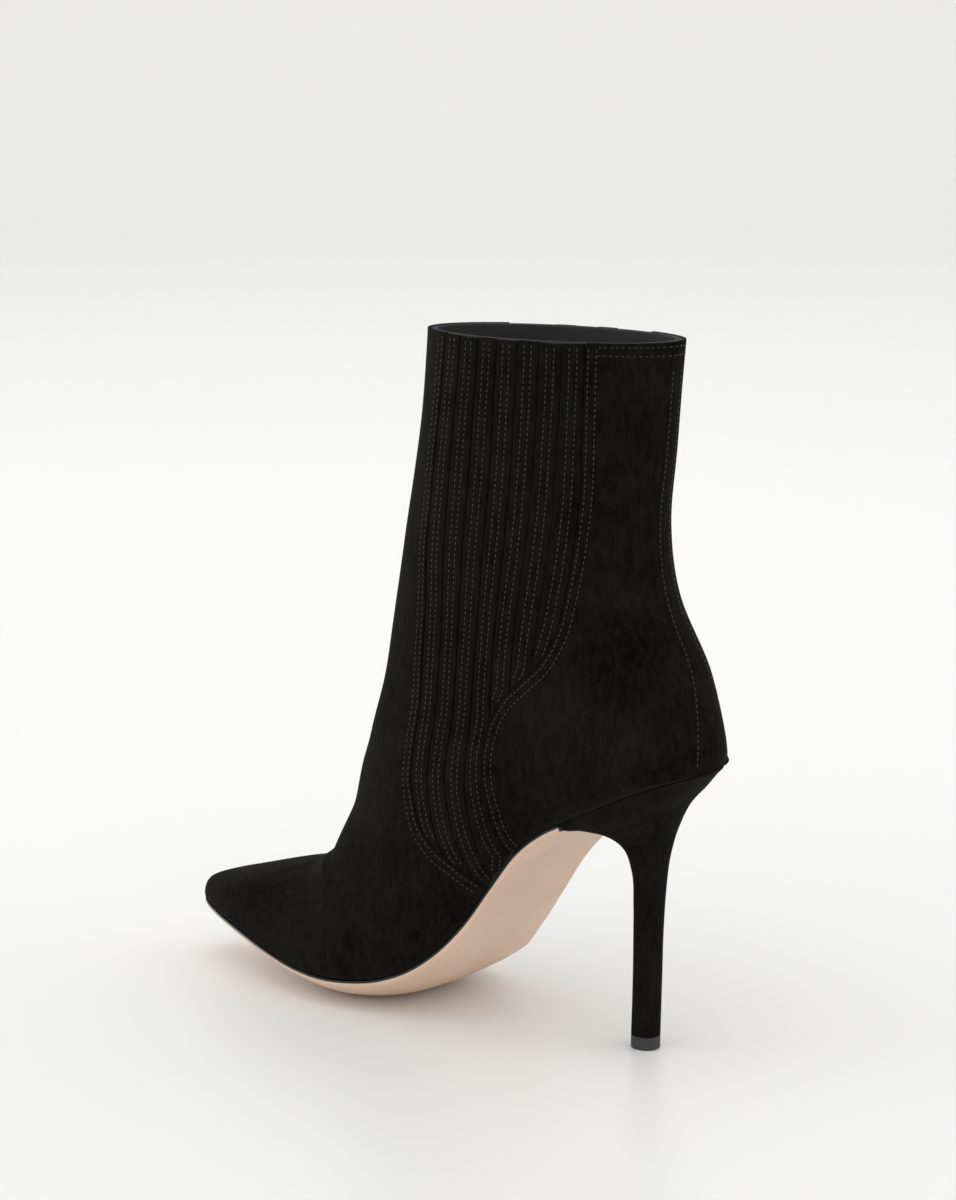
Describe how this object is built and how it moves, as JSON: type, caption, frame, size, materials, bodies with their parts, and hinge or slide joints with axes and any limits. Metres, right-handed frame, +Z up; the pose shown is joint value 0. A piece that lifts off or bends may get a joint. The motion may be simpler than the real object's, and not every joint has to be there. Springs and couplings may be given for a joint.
{
  "type": "stiletto ankle bootie",
  "caption": "Pull-on suede ankle bootie with a pointed toe, side gores made of stitched strips, a thin leather sole and a slim covered stiletto heel.",
  "frame": {"origin": "centre of the heel top piece's flat underside", "axes": "+X to the toe, +Y to the wearer's left, +Z up"},
  "size_m": [0.2181, 0.0744, 0.239],
  "materials": {
    "suede": "fine matte suede",
    "heel_suede": "fine matte suede over a hard core",
    "lining": "soft woven lining",
    "sole_leather": "smooth tan leather with a black painted edge",
    "rubber": "matte dark grey"
  },
  "bodies": {
    "root": {"upper": "suede", "back_strip": "suede", "gore_strip_medial_1": "suede", "gore_strip_medial_2": "suede", "gore_strip_medial_3": "suede", "gore_strip_medial_4": "suede", "gore_strip_medial_5": "suede", "gore_strip_medial_6": "suede", "gore_strip_medial_7": "suede", "gore_strip_lateral_1": "suede", "gore_strip_lateral_2": "suede", "gore_strip_lateral_3": "suede", "gore_strip_lateral_4": "suede", "gore_strip_lateral_5": "suede", "gore_strip_lateral_6": "suede", "gore_strip_lateral_7": "suede", "collar_facing": "lining", "insole": "lining", "outsole": "sole_leather", "heel": "heel_suede", "heel_top_piece": "rubber"}
  },
  "joints": []
}
